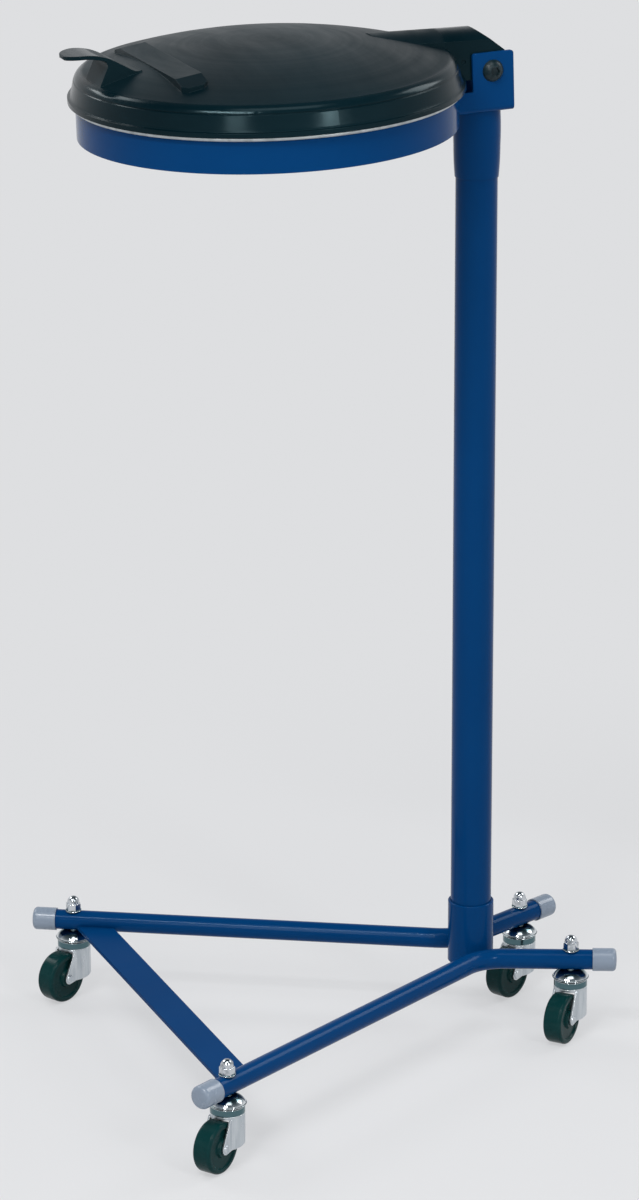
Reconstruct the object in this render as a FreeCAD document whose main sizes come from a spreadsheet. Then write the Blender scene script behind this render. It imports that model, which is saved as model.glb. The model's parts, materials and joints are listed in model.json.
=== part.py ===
import FreeCAD, Part

import math
import os

import Sketcher

Vector = FreeCAD.Vector

# Waste sack stand on castors: a welded four-legged tube base, a column, a drooping head that
# carries the sack ring, and a black moulded lid on a hinge bolt.
# Millimetres. Z is up and the floor is Z = 0. The handle of the lid points to -Y.
# The origin is under the middle of the whole stand, so the column stands behind it.

# Driving sizes, one per cell of the sheet.
SIZES = {
    # base and column
    "column_diameter": 40,
    "column_wall": 2,
    "column_seat_gap": 3,
    "socket_diameter": 45,
    "socket_height": 63,
    "slip_gap": 0.1,
    "base_tube_diameter": 20,
    "base_tube_wall": 1.5,
    "bend_radius": 47,
    "front_splay": 29.56,
    "rear_splay": 23.57,
    "front_castor_reach": 391.4,
    "rear_castor_reach": 88.3,
    "front_tail": 41.3,
    "rear_tail": 45.4,
    "brace_width": 32,
    "brace_thickness": 4,
    "brace_drop": 3,
    "brace_setback": 0.3,
    # end caps
    "cap_wall": 1.4,
    "cap_length": 24,
    "cap_end_wall": 3,
    "cap_bulge": 0.6,
    "cap_round": 4,
    # castors
    "wheel_diameter": 50,
    "wheel_width": 19,
    "wheel_round": 3,
    "wheel_dish": 1.5,
    "tread_wall": 6,
    "hub_diameter": 17,
    "hub_width": 20.6,
    "axle_height": 25,
    "axle_diameter": 6,
    "axle_head_diameter": 8.6,
    "axle_head_height": 1.3,
    "running_gap": 0.05,
    "castor_trail": 20,
    "fork_wall": 1.8,
    "fork_width": 25,
    "fork_radius": 16.5,
    "fork_crown": 2.4,
    "fork_top": 53.5,
    "fork_wing_foot": 25,
    "fork_toe_radius": 5.5,
    "fork_shoulder": 13,
    "race_diameter": 33,
    "race_height": 7,
    "race_wall": 1.5,
    "race_hub_diameter": 17,
    "cup_diameter": 35,
    "cup_height": 8,
    "cup_rim": 1.6,
    "cup_wall": 1.6,
    "cup_seat_diameter": 18,
    "castor_height": 70,
    "stud_diameter": 8,
    "stud_hole_gap": 0.2,
    "stud_head_diameter": 13,
    "stud_head_height": 2,
    "nut_across_flats": 13,
    "nut_height": 14.6,
    "nut_hex_height": 7,
    "nut_dome_diameter": 12.4,
    "nut_skin": 3,
    "washer_diameter": 16,
    "washer_thickness": 1.2,
    "turn_front_left": 28,
    "turn_rear_left": 29.5,
    "turn_front_right": 35,
    "turn_rear_right": 41,
    # head: collar, bracket, ring
    "head_height": 930,
    "head_droop": 1.83,
    "collar_height": 66,
    "collar_diameter": 44.4,
    "collar_foot_diameter": 41.7,
    "collar_top_diameter": 43.6,
    "collar_belly_height": 30,
    "bracket_wall": 3,
    "bracket_width": 56,
    "bracket_bend": 5,
    "cheek_front": 15.5,
    "cheek_rear": 25.8,
    "cheek_height": 57,
    "cheek_round": 3,
    "tab_height": 20.8,
    "ring_standoff": 33.5,
    "ring_diameter": 353,
    "ring_wall": 3,
    "ring_height": 30,
    "hoop_wire": 5,
    "hoop_overhang": 1.5,
    # hinge
    "hinge_rear": 4.8,
    "hinge_height": 39.4,
    "bolt_diameter": 12,
    "bolt_head_diameter": 21,
    "bolt_head_height": 6.6,
    "bolt_socket": 8,
    "bolt_socket_depth": 3.6,
    "lock_nut_flats": 19,
    "lock_nut_height": 10,
    "spacer_diameter": 16,
    # lid
    "lid_wall": 2.5,
    "lid_overhang": 5.5,
    "lid_lip_drop": 1,
    "lid_lip_height": 4.4,
    "lid_gap": 0.3,
    "lid_lip_width": 3,
    "lid_skirt_draft": 3,
    "lid_lip_fillet": 2.4,
    "lid_skirt_height": 19.3,
    "lid_groove_depth": 1,
    "lid_groove_width": 1.6,
    "lid_shoulder_inset": 0.6,
    "lid_shoulder_radius": 10.7,
    "lid_shoulder_width": 7.5,
    "lid_dome_foot": 27.3,
    "lid_dome_radius": 595,
    "arm_width": 49.2,
    "arm_wall": 3,
    "arm_crown": 37.1,
    "arm_crease": 29.4,
    "arm_climb": 4.6,
    "arm_bottom": 7.4,
    "arm_rear": 20,
    "arm_nose": 112,
    "arm_solid": 14,
    "arm_bevel_front": 10.8,
    "arm_bevel_foot": 15.1,
    "arm_bevel_round": 3,
    "boss_diameter": 22,
    "dimple_diameter": 4.5,
    "dimple_depth": 0.8,
    "dimple_ahead": 23.4,
    "dimple_height": 49.8,
    "grip_width": 40,
    "grip_thickness": 3.6,
    "grip_overhang": 13.7,
    "grip_corner": 19,
    "grip_crest_back": 16.2,
    "grip_crest_rise": 30.5,
    "grip_crest_radius": 57,
    "grip_nose_drop": 1,
    "grip_slope": 31.2,
    "grip_straight": 17.5,
    "grip_fillet": 12.2,
    "grip_root_slope": 15,
    "grip_heel_turn": 20,
    "post_fillet": 5,
    "post_lean": 25.3,
    "post_depth": 4.3,
    "pad_length": 190,
    "pad_shift": 7,
    "pad_width": 25,
    "pad_front": 117.5,
    "pad_rise": 14.4,
    "pad_tilt_rise": 3.3,
    "pad_end": 20,
    "pad_end_drop": 5.5,
    "pad_corner": 5,
}

# Sizes that follow from the driving ones, written as formulas over the sheet.
WORKED_OUT = {
    "tube_centre_height": "castor_height + base_tube_diameter / 2",
    "bend_turn": "front_splay + rear_splay",
    "bend_tangent": "bend_radius * tan(bend_turn / 2 * 1 deg)",
    "bend_corner": "bend_radius / cos(bend_turn / 2 * 1 deg)",
    "bend_lean": "(front_splay - rear_splay) / 2",
    "bend_clear": "socket_diameter / 2 + base_tube_diameter / 2 + slip_gap + bend_radius",
    "bend_side": "bend_corner * sin(bend_lean * 1 deg)",
    "bend_side_reach": "sqrt(bend_clear * bend_clear - bend_side * bend_side)",
    "corner_x": "bend_side_reach - bend_corner * cos(bend_lean * 1 deg)",
    "front_reach": "front_castor_reach + front_tail",
    "rear_reach": "rear_castor_reach + rear_tail",
    "ring_offset": "ring_diameter / 2 + ring_standoff",
    "hoop_diameter": "ring_diameter + 2 * hoop_overhang",
    "lid_lip_diameter": "hoop_diameter + 2 * lid_overhang",
    "lid_skirt_foot_diameter": "lid_lip_diameter - 2 * lid_lip_width",
    "lid_skirt_top_diameter": "lid_skirt_foot_diameter - 2 * lid_skirt_draft",
    "lid_dome_diameter": "lid_skirt_top_diameter - 2 * lid_shoulder_width",
    "grip_tip": "lid_lip_diameter / 2 + grip_overhang",
    "grip_crest": "grip_tip - grip_crest_back",
    "tip_back": "ring_offset + grip_tip",
    "cap_radius": "base_tube_diameter / 2 + cap_wall",
    "rear_side": "(cap_radius - cap_round) * sin(rear_splay * 1 deg) + cap_round",
    "rear_extent": "(rear_reach - cap_bulge - cap_round) * cos(rear_splay * 1 deg) + rear_side",
    "hoop_height": "bracket_wall + ring_height + hoop_wire / 2",
    "hoop_top": "hoop_height + hoop_wire / 2",
    "lid_seat": "hoop_top + lid_gap",
    "lip_foot": "hoop_top - lid_lip_drop",
    "lip_top": "lip_foot + lid_lip_height",
    "skirt_top": "lip_foot + lid_skirt_height",
    "dome_foot": "lip_foot + lid_dome_foot",
    "dome_half": "lid_dome_diameter / 2",
    "dome_drop": "lid_dome_radius - sqrt(lid_dome_radius * lid_dome_radius - dome_half * dome_half)",
    "dome_top": "dome_foot + dome_drop",
    "room_half": "dome_half - lid_wall",
    "room_radius": "lid_dome_radius - lid_wall",
    "room_drop": "room_radius - sqrt(room_radius * room_radius - room_half * room_half)",
    "crest_y": "-(ring_offset + grip_crest)",
    "crest_z": "dome_foot + grip_crest_rise",
    "nose_z": "crest_z - grip_nose_drop",
    "nose_bulge": "0.3 * grip_thickness",
    "nose_round": "(grip_thickness * grip_thickness / 4 + nose_bulge * nose_bulge) / (2 * nose_bulge)",
    "nose_run": "grip_tip - nose_bulge - grip_crest",
    "nose_radius": "(nose_run * nose_run + grip_nose_drop * grip_nose_drop) / (2 * grip_nose_drop)",
    "turn_y": "crest_y + grip_crest_radius * sin(grip_slope * 1 deg)",
    "turn_z": "crest_z - grip_crest_radius * (1 - cos(grip_slope * 1 deg))",
    "ramp_y": "turn_y + grip_straight * cos(grip_slope * 1 deg)",
    "ramp_z": "turn_z - grip_straight * sin(grip_slope * 1 deg)",
    "root_y": "ramp_y + grip_fillet * (sin(grip_slope * 1 deg) + sin(grip_root_slope * 1 deg))",
    "root_z": "ramp_z + grip_fillet * (cos(grip_slope * 1 deg) - cos(grip_root_slope * 1 deg))",
    "heel_radius": "grip_crest_radius - grip_thickness",
    "heel_y": "crest_y + heel_radius * sin(grip_heel_turn * 1 deg)",
    "heel_z": "crest_z - grip_crest_radius + heel_radius * cos(grip_heel_turn * 1 deg)",
    "post_y": "heel_y + post_fillet * (cos(post_lean * 1 deg) - sin(grip_heel_turn * 1 deg))",
    "post_z": "heel_z - post_fillet * (cos(grip_heel_turn * 1 deg) + sin(post_lean * 1 deg))",
    "post_foot_z": "dome_foot - post_depth",
    "post_foot_y": "post_y - (post_z - post_foot_z) * tan(post_lean * 1 deg)",
    "tip_height": "nose_z - grip_thickness / 2",
    "front_extent": "tip_back * cos(head_droop * 1 deg) + tip_height * sin(head_droop * 1 deg)",
    "column_y": "(front_extent - rear_extent) / 2",
    "front_castor_x": "corner_x + front_castor_reach * sin(front_splay * 1 deg)",
    "front_castor_y": "column_y - front_castor_reach * cos(front_splay * 1 deg)",
    "rear_castor_x": "corner_x + rear_castor_reach * sin(rear_splay * 1 deg)",
    "rear_castor_y": "column_y + rear_castor_reach * cos(rear_splay * 1 deg)",
    "front_tube_length": "front_reach - cap_end_wall",
    "rear_tube_length": "rear_reach - cap_end_wall",
    "column_bore": "column_diameter / 2 + slip_gap",
    "ring_seat": "bracket_wall",
    "race_foot": "fork_top",
    "race_top": "race_foot + race_height",
    "cup_foot": "castor_height - cup_height",
    "washer_seat": "castor_height + base_tube_diameter",
    "nut_seat": "washer_seat + washer_thickness",
}

doc = FreeCAD.newDocument("waste_sack_stand")
sheet = doc.addObject("Spreadsheet::Sheet", "sizes")
pieces = []


def fill_sheet():
    """Driving sizes go in column A as plain numbers, worked-out ones in column B as formulas."""
    for row, (name, number) in enumerate(SIZES.items(), start=1):
        sheet.set(f"A{row}", str(number))
        sheet.setAlias(f"A{row}", name)
    for row, (name, formula) in enumerate(WORKED_OUT.items(), start=1):
        sheet.set(f"B{row}", "=" + formula)
        sheet.setAlias(f"B{row}", name)
    doc.recompute()


ALIASES = sorted(list(SIZES) + list(WORKED_OUT), key=len, reverse=True)


def over_sheet(formula):
    """The formula with the sheet's name before each of its aliases."""
    words = []
    word = ""
    for letter in str(formula) + " ":
        if letter.isalnum() or letter == "_":
            word += letter
            continue
        words.append("sizes." + word if word in ALIASES else word)
        words.append(letter)
        word = ""
    return "".join(words).strip()


def number(formula):
    """What a formula comes to with the sheet's present sizes."""
    return float(sheet.evalExpression(over_sheet(formula)))


def bind(thing, name, formula):
    thing.setExpression(name, over_sheet(formula))


def place(thing, x="0", y="0", z="0", axis=("0", "0", "1"), angle="0"):
    """Ties the placement to the sheet: a turn about an axis, then a shift."""
    shift = f"vector({over_sheet(x)}; {over_sheet(y)}; {over_sheet(z)})"
    along = "; ".join(over_sheet(a) for a in axis)
    thing.setExpression("Placement", f"placement({shift}; rotation(vector({along}); {over_sheet(angle)}))")


def place_on_head(thing):
    """Head pieces are drawn from the foot of the bracket and droop forwards with it."""
    place(thing, "0", "column_y", "head_height", ("1", "0", "0"), "head_droop")


def keep(thing, label):
    thing.Label = label
    pieces.append(thing)
    return thing


def new_body(label):
    body = doc.addObject("PartDesign::Body", "body_" + label)
    return keep(body, label)


def tool_body(label):
    body = doc.addObject("PartDesign::Body", "tool_" + label)
    body.Label = "tool_" + label
    return body


def origin_plane(body, role):
    return [feature for feature in body.Origin.OriginFeatures if feature.Role == role][0]


def new_sketch(body, role, offset=None):
    """A sketch on one of the body's own origin planes, shifted along its normal by a formula."""
    sketch = body.newObject("Sketcher::SketchObject", body.Name + "_sketch")
    sketch.AttachmentSupport = (origin_plane(body, role), "")
    sketch.MapMode = "FlatFace"
    if offset is not None:
        bind(sketch, "AttachmentOffset.Base.z", offset)
    return sketch


def pin(sketch, geometry, point, x, y):
    """Holds a sketch point at two formulas, measured from the sketch's origin."""
    for kind, formula in (("DistanceX", x), ("DistanceY", y)):
        row = sketch.addConstraint(Sketcher.Constraint(kind, -1, 1, geometry, point, number(formula)))
        bind(sketch, f"Constraints[{row}]", formula)


def arc_between(start, end, radius):
    """Short arc from start to end. A positive radius turns left on the way, a negative one right."""
    middle = (start + end) / 2
    chord = end - start
    left = Vector(-chord.y, chord.x, 0).normalize()
    rise = math.sqrt(max(radius * radius - (chord.Length / 2) ** 2, 0))
    centre = middle + left * (rise if radius > 0 else -rise)
    first, last = (start, end) if radius > 0 else (end, start)
    angles = [math.atan2(p.y - centre.y, p.x - centre.x) for p in (first, last)]
    return Part.ArcOfCircle(Part.Circle(centre, Vector(0, 0, 1), abs(radius)), angles[0], angles[1])


def trace(sketch, path):
    """Closed outline through points (x, y). A third entry is the radius of the arc that ends there."""
    spots = [Vector(number(step[0]), number(step[1]), 0) for step in path]
    ends = []
    for index, step in enumerate(path):
        start, end = spots[index - 1], spots[index]
        if len(step) == 2:
            row = sketch.addGeometry(Part.LineSegment(start, end))
            ends.append((row, 1, 2))
            continue
        radius = number(step[2])
        row = sketch.addGeometry(arc_between(start, end, radius))
        ends.append((row, 1, 2) if radius > 0 else (row, 2, 1))
        size = sketch.addConstraint(Sketcher.Constraint("Radius", row, abs(radius)))
        bind(sketch, f"Constraints[{size}]", step[2] if radius > 0 else f"-({step[2]})")
    for index, (row, first, last) in enumerate(ends):
        previous = ends[index - 1]
        sketch.addConstraint(Sketcher.Constraint("Coincident", previous[0], previous[2], row, first))
        pin(sketch, row, last, path[index][0], path[index][1])
    return sketch


def circle(sketch, x, y, diameter):
    row = sketch.addGeometry(Part.Circle(Vector(number(x), number(y), 0), Vector(0, 0, 1), number(diameter) / 2))
    size = sketch.addConstraint(Sketcher.Constraint("Diameter", row, number(diameter)))
    bind(sketch, f"Constraints[{size}]", diameter)
    pin(sketch, row, 3, x, y)
    return sketch


def hexagon(sketch, across_flats):
    """Six-sided outline about the sketch's origin, with two flats square to its X."""
    half = f"({across_flats}) / 2"
    corner = f"{half} * tan(30 deg)"
    point = f"{half} / cos(30 deg)"
    return trace(sketch, [
        (half, f"-{corner}"), (half, corner), ("0", point),
        (f"-{half}", corner), (f"-{half}", f"-{corner}"), ("0", f"-{point}"),
    ])


def pad(body, sketch, length, both_ways=False, reverse=False):
    feature = body.newObject("PartDesign::Pad", body.Name + "_pad")
    feature.Profile = sketch
    feature.Midplane = both_ways
    feature.Reversed = reverse
    bind(feature, "Length", length)
    return feature


def cut_through(body, sketch, length=None, both_ways=True, reverse=False):
    """Pocket through everything, or a blind one of the given length."""
    feature = body.newObject("PartDesign::Pocket", body.Name + "_pocket")
    feature.Profile = sketch
    if length is None:
        feature.Type = "ThroughAll"
        feature.Midplane = both_ways
    else:
        feature.Type = "Length"
        feature.Midplane = both_ways
        bind(feature, "Length", length)
    feature.Reversed = reverse
    return feature


def spin(body, sketch, kind="Revolution", axis="V_Axis"):
    """Full turn of the sketch about one of its own axes, or about a line (x, y, x, y) drawn in it."""
    if not isinstance(axis, str):
        x1, y1, x2, y2 = axis
        ends = [Vector(number(x1), number(y1), 0), Vector(number(x2), number(y2), 0)]
        line = sketch.addGeometry(Part.LineSegment(*ends), True)
        pin(sketch, line, 1, x1, y1)
        pin(sketch, line, 2, x2, y2)
        axis = "Axis0"
    feature = body.newObject("PartDesign::" + kind, body.Name + "_turned")
    feature.Profile = sketch
    feature.ReferenceAxis = (sketch, [axis])
    feature.Angle = 360
    return feature


def loft(body, sketches, kind="AdditiveLoft"):
    feature = body.newObject("PartDesign::" + kind, body.Name + "_loft")
    feature.Profile = sketches[0]
    feature.Sections = sketches[1:]
    feature.Ruled = True
    return feature


def turned_body(label, path):
    """A piece of one turned profile, drawn as (radius, height) points."""
    body = new_body(label)
    spin(body, trace(new_sketch(body, "XZ_Plane"), path))
    return body


def build_base_tube(side, label):
    """Bent leg tube. It starts at its front end, runs to the socket and turns out to the rear."""
    body = new_body(label)
    straight = "(front_tube_length - bend_tangent)"
    turn = "(bend_turn * 1 deg)"
    spine = body.newObject("Sketcher::SketchObject", body.Name + "_spine")
    spine.AttachmentSupport = (origin_plane(body, "XY_Plane"), "")
    spine.MapMode = "FlatFace"
    first = ("0", straight)
    bend_end = (f"{side} * bend_radius * (1 - cos{turn})", f"{straight} + bend_radius * sin{turn}")
    rear = "(rear_tube_length - bend_tangent)"
    last = (f"{bend_end[0]} + {side} * {rear} * sin{turn}", f"{bend_end[1]} + {rear} * cos{turn}")
    spots = [Vector(number(x), number(y), 0) for x, y in (("0", "0"), first, bend_end, last)]
    spine.addGeometry(Part.LineSegment(spots[0], spots[1]))
    spine.addGeometry(arc_between(spots[1], spots[2], -side * number("bend_radius")))
    spine.addGeometry(Part.LineSegment(spots[2], spots[3]))
    begin, finish = (2, 1) if side > 0 else (1, 2)
    spine.addConstraint(Sketcher.Constraint("Coincident", 0, 2, 1, begin))
    spine.addConstraint(Sketcher.Constraint("Coincident", 1, finish, 2, 1))
    size = spine.addConstraint(Sketcher.Constraint("Radius", 1, number("bend_radius")))
    bind(spine, f"Constraints[{size}]", "bend_radius")
    pin(spine, 0, 1, "0", "0")
    pin(spine, 0, 2, *first)
    pin(spine, 2, 1, *bend_end)
    pin(spine, 2, 2, *last)
    ring = new_sketch(body, "XZ_Plane")
    circle(ring, "0", "0", "base_tube_diameter")
    circle(ring, "0", "0", "base_tube_diameter - 2 * base_tube_wall")
    pipe = body.newObject("PartDesign::AdditivePipe", body.Name + "_pipe")
    pipe.Profile = ring
    pipe.Spine = spine
    pipe.Mode = "Frenet"
    holes = new_sketch(body, "XY_Plane")
    hole = "stud_diameter + 2 * stud_hole_gap"
    circle(holes, "0", "front_tube_length - front_castor_reach", hole)
    along = "(rear_castor_reach - bend_tangent)"
    circle(holes, f"{bend_end[0]} + {side} * {along} * sin{turn}", f"{bend_end[1]} + {along} * cos{turn}", hole)
    cut_through(body, holes)
    x = f"{side} * (corner_x + front_tube_length * sin(front_splay * 1 deg))"
    y = "column_y - front_tube_length * cos(front_splay * 1 deg)"
    place(body, x, y, "tube_centre_height", angle=f"{side} * front_splay")
    return body


def build_brace():
    """Flat bar between the front legs, notched to lie against both tubes."""
    blank = tool_body("brace")
    front = "-front_castor_reach * cos(front_splay * 1 deg) + brace_setback"
    rear = f"{front} + brace_width"
    slope = "tan(front_splay * 1 deg)"
    wide = f"corner_x - ({front}) * {slope}"
    narrow = f"corner_x - ({rear}) * {slope}"
    outline = trace(new_sketch(blank, "XY_Plane", "-brace_drop"), [
        (f"-({wide})", front), (wide, front), (narrow, rear), (f"-({narrow})", rear),
    ])
    pad(blank, outline, "brace_thickness", reverse=True)
    place(blank, "0", "column_y", "tube_centre_height")
    piece = blank
    for side in (-1, 1):
        leg = doc.addObject("Part::Cylinder", "leg_shape")
        bind(leg, "Radius", "base_tube_diameter / 2")
        bind(leg, "Height", "front_reach")
        lean = ("cos(front_splay * 1 deg)", f"{side} * sin(front_splay * 1 deg)", "0")
        place(leg, f"{side} * corner_x", "column_y", "tube_centre_height", lean, "90")
        notched = doc.addObject("Part::Cut", "brace_cut")
        notched.Base = piece
        notched.Tool = leg
        piece = notched
    return keep(piece, "brace_bar")


def build_socket():
    """Outer tube that the column plugs into, welded between the two leg tubes."""
    body = turned_body("base_socket", [
        ("column_bore", "0"), ("socket_diameter / 2", "0"),
        ("socket_diameter / 2", "socket_height - 0.8"), ("socket_diameter / 2 - 0.8", "socket_height"),
        ("column_bore", "socket_height"),
    ])
    place(body, "0", "column_y", "castor_height")


def build_column():
    body = turned_body("column_tube", [
        ("column_diameter / 2 - column_wall", "0"), ("column_diameter / 2", "0"),
        ("column_diameter / 2", "head_height - castor_height - column_seat_gap"),
        ("column_diameter / 2 - column_wall", "head_height - castor_height - column_seat_gap"),
    ])
    place(body, "0", "column_y", "castor_height")


def build_collar():
    """Socket of the head over the column: slightly barrelled, its top cut to the bracket's slope."""
    body = new_body("head_collar")
    flank = trace(new_sketch(body, "XZ_Plane"), [
        ("column_bore", "0"), ("collar_foot_diameter / 2", "0"),
        ("collar_diameter / 2", "collar_belly_height", "collar_height * 5"),
        ("collar_top_diameter / 2", "collar_height", "collar_height * 5"),
        ("collar_top_diameter / 2", "collar_height + 2"), ("column_bore", "collar_height + 2"),
    ])
    spin(body, flank)
    slope = "tan(head_droop * 1 deg)"
    reach = "collar_diameter"
    above = trace(new_sketch(body, "YZ_Plane"), [
        (f"-{reach}", f"collar_height - {reach} * {slope}"), (reach, f"collar_height + {reach} * {slope}"),
        (reach, "collar_height + 12"), (f"-{reach}", "collar_height + 12"),
    ])
    cut_through(body, above)
    place(body, "0", "column_y", "head_height - collar_height")


def build_bracket():
    """Folded bracket: a web on the collar, two cheeks for the hinge, tabs forward to the ring."""
    body = new_body("hinge_bracket")
    half = "(bracket_width / 2)"
    inner = "(bracket_width / 2 - bracket_wall)"
    bend = "(bracket_bend - bracket_wall)"
    section = trace(new_sketch(body, "XZ_Plane", "-cheek_rear"), [
        (f"{half} - bracket_bend", "0"), (half, "bracket_bend", "bracket_bend"),
        (half, "cheek_height"), (inner, "cheek_height"), (inner, "bracket_bend"),
        (f"{inner} - {bend}", "bracket_wall", f"-{bend}"),
        (f"-({inner} - {bend})", "bracket_wall"), (f"-{inner}", "bracket_bend", f"-{bend}"),
        (f"-{inner}", "cheek_height"), (f"-{half}", "cheek_height"), (f"-{half}", "bracket_bend"),
        (f"-({half} - bracket_bend)", "0", "bracket_bend"),
    ])
    pad(body, section, "cheek_rear + ring_offset - ring_diameter / 2 + 8")
    front = "ring_offset - ring_diameter / 2 + 20"
    step = trace(new_sketch(body, "YZ_Plane"), [
        (f"-({front})", "tab_height"), ("-cheek_front", "tab_height"),
        ("-cheek_front", "cheek_height - cheek_round"),
        ("cheek_round - cheek_front", "cheek_height", "-cheek_round"),
        ("cheek_rear - cheek_round", "cheek_height"),
        ("cheek_rear", "cheek_height - cheek_round", "-cheek_round"),
        ("cheek_rear + 5", "cheek_height - cheek_round"), ("cheek_rear + 5", "cheek_height + 5"),
        (f"-({front})", "cheek_height + 5"),
    ])
    cut_through(body, step)
    lap = new_sketch(body, "XY_Plane", "ring_seat")
    circle(lap, "0", "-ring_offset", "ring_diameter")
    cut_through(body, lap, "cheek_height", both_ways=False, reverse=True)
    bolt = new_sketch(body, "YZ_Plane")
    circle(bolt, "hinge_rear", "hinge_height", "bolt_diameter + 2 * slip_gap")
    cut_through(body, bolt)
    place_on_head(body)


def build_ring():
    """Flat steel hoop that the sack hangs in."""
    body = turned_body("ring_band", [
        ("ring_diameter / 2 - ring_wall", "ring_seat"), ("ring_diameter / 2", "ring_seat"),
        ("ring_diameter / 2", "ring_seat + ring_height"),
        ("ring_diameter / 2 - ring_wall", "ring_seat + ring_height"),
    ])
    put_over_ring(body)


def put_over_ring(thing):
    """Places a piece on the drooping axis of the sack ring."""
    back = "column_y - ring_offset * cos(head_droop * 1 deg)"
    down = "head_height - ring_offset * sin(head_droop * 1 deg)"
    place(thing, "0", back, down, ("1", "0", "0"), "head_droop")


def build_hoop():
    """Galvanised wire hoop that clamps the sack's rim on the band."""
    body = new_body("clamp_hoop")
    wire = new_sketch(body, "XZ_Plane")
    circle(wire, "hoop_diameter / 2", "hoop_height", "hoop_wire")
    spin(body, wire)
    put_over_ring(body)


def place_hinge(thing, x):
    """Hinge pieces are drawn along their own +Z and lie along +X through the hinge line."""
    droop = "(head_droop * 1 deg)"
    back = f"column_y + hinge_rear * cos{droop} - hinge_height * sin{droop}"
    up = f"head_height + hinge_rear * sin{droop} + hinge_height * cos{droop}"
    place(thing, x, back, up, ("0", "1", "0"), "90")


def build_hinge():
    """Button-headed bolt, lock nut and the spacer tube that the lid turns on."""
    bolt = new_body("hinge_bolt")
    head = "bolt_head_diameter / 2"
    cap_round = f"(({head}) * ({head}) + bolt_head_height * bolt_head_height) / (2 * bolt_head_height)"
    shank = "bracket_width + lock_nut_height + 1"
    spin(bolt, trace(new_sketch(bolt, "XZ_Plane"), [
        ("0", f"-({shank})"), ("bolt_diameter / 2 - 1", f"-({shank})"), ("bolt_diameter / 2", f"1 - ({shank})"),
        ("bolt_diameter / 2", "0"), (head, "0"), ("0", "bolt_head_height", cap_round),
    ]))
    key = hexagon(new_sketch(bolt, "XY_Plane", "bolt_head_height - bolt_socket_depth"), "bolt_socket")
    cut_through(bolt, key, "bolt_head_height", both_ways=False, reverse=True)
    place_hinge(bolt, "bracket_width / 2")
    nut = new_body("hinge_nut")
    outline = hexagon(new_sketch(nut, "XY_Plane"), "lock_nut_flats")
    pad(nut, outline, "lock_nut_height")
    bore = new_sketch(nut, "XY_Plane")
    circle(bore, "0", "0", "bolt_diameter")
    cut_through(nut, bore)
    place_hinge(nut, "-bracket_width / 2 - lock_nut_height")
    spacer = turned_body("hinge_spacer", [
        ("bolt_diameter / 2 + slip_gap", "0"), ("spacer_diameter / 2", "0"),
        ("spacer_diameter / 2", "bracket_width - 2 * bracket_wall"),
        ("bolt_diameter / 2 + slip_gap", "bracket_width - 2 * bracket_wall"),
    ])
    place_hinge(spacer, "bracket_wall - bracket_width / 2")


def arm_section(body, ahead, inset, foot):
    """Arched cross-section of the lid's hinge arm at a distance in front of the hinge line."""
    half = f"(arm_width / 2 - {inset})"
    climb = f"(({ahead}) / arm_nose * arm_climb)"
    crown = f"(hinge_height + arm_crown + {climb} - {inset})"
    crease = f"(hinge_height + arm_crease + {climb} - {inset})"
    rise = "(arm_crown - arm_crease)"
    bow = f"(({half} * {half} + {rise} * {rise}) / (2 * {rise}))"
    sketch = new_sketch(body, "XZ_Plane", f"({ahead}) - hinge_rear")
    trace(sketch, [
        (f"-{half}", foot), (half, foot), (half, crease), ("0", crown, bow), (f"-{half}", crease, bow),
    ])
    return sketch


def build_lid():
    """Moulded lid: domed disc with a rolled rim, hinge arm, raised pad and finger grip."""
    body = new_body("lid_shell")
    spin(body, trace(new_sketch(body, "XZ_Plane", "ring_offset"), lid_profile()))
    foot = "hinge_height - arm_bottom"
    loft(body, [arm_section(body, "-arm_rear", "0", foot), arm_section(body, "arm_nose", "0", foot)])
    bevel = trace(new_sketch(body, "YZ_Plane"), [
        ("hinge_rear - arm_bevel_front", "hinge_height + arm_crown + 8"),
        ("hinge_rear - arm_bevel_front", "hinge_height + arm_crown + 0.8"),
        ("hinge_rear + arm_rear - arm_bevel_round", "hinge_height + arm_bevel_foot"),
        ("hinge_rear + arm_rear", "hinge_height + arm_bevel_foot - arm_bevel_round", "-1.1 * arm_bevel_round"),
        ("hinge_rear + arm_rear + 5", "hinge_height + arm_bevel_foot - arm_bevel_round"),
        ("hinge_rear + arm_rear + 5", "hinge_height + arm_crown + 8"),
    ])
    cut_through(body, bevel)
    add_pad(body)
    add_grip(body)
    spin(body, trace(new_sketch(body, "XZ_Plane", "ring_offset"), lid_hollow()), "Groove")
    room = [arm_section(body, back, "arm_wall", "lip_foot - 20") for back in ("arm_solid", "arm_nose - 8")]
    loft(body, room, "SubtractiveLoft")
    boss = new_sketch(body, "YZ_Plane")
    circle(boss, "hinge_rear", "hinge_height", "boss_diameter")
    pad(body, boss, "arm_width", both_ways=True)
    bore = new_sketch(body, "YZ_Plane")
    circle(bore, "hinge_rear", "hinge_height", "spacer_diameter + 2 * running_gap")
    cut_through(body, bore)
    for side in ("", "-"):
        mark = new_sketch(body, "YZ_Plane", f"{side}(arm_width / 2 - dimple_depth)")
        circle(mark, "-dimple_ahead", "dimple_height", "dimple_diameter")
        cut_through(body, mark, "dimple_depth + 1", both_ways=False, reverse=side == "")
    place_on_head(body)


def pad_section(body, back, inset):
    """Cross-section of the raised pad at a distance behind its front edge, its ends folded down."""
    near, far = f"(pad_shift + pad_length / 2 - {inset})", f"(pad_shift - pad_length / 2 + {inset})"
    top = f"(dome_foot + pad_rise + pad_tilt_rise * ({back}) / pad_width)"
    end = f"({top} - pad_end_drop * (pad_end - {inset}) / pad_end)"
    return trace(new_sketch(body, "XZ_Plane", f"ring_offset + pad_front - ({back})"), [
        (far, "dome_foot"), (near, "dome_foot"), (near, end), ("pad_shift + pad_length / 2 - pad_end", top),
        ("pad_shift - pad_length / 2 + pad_end", top), (far, end),
    ])


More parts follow.
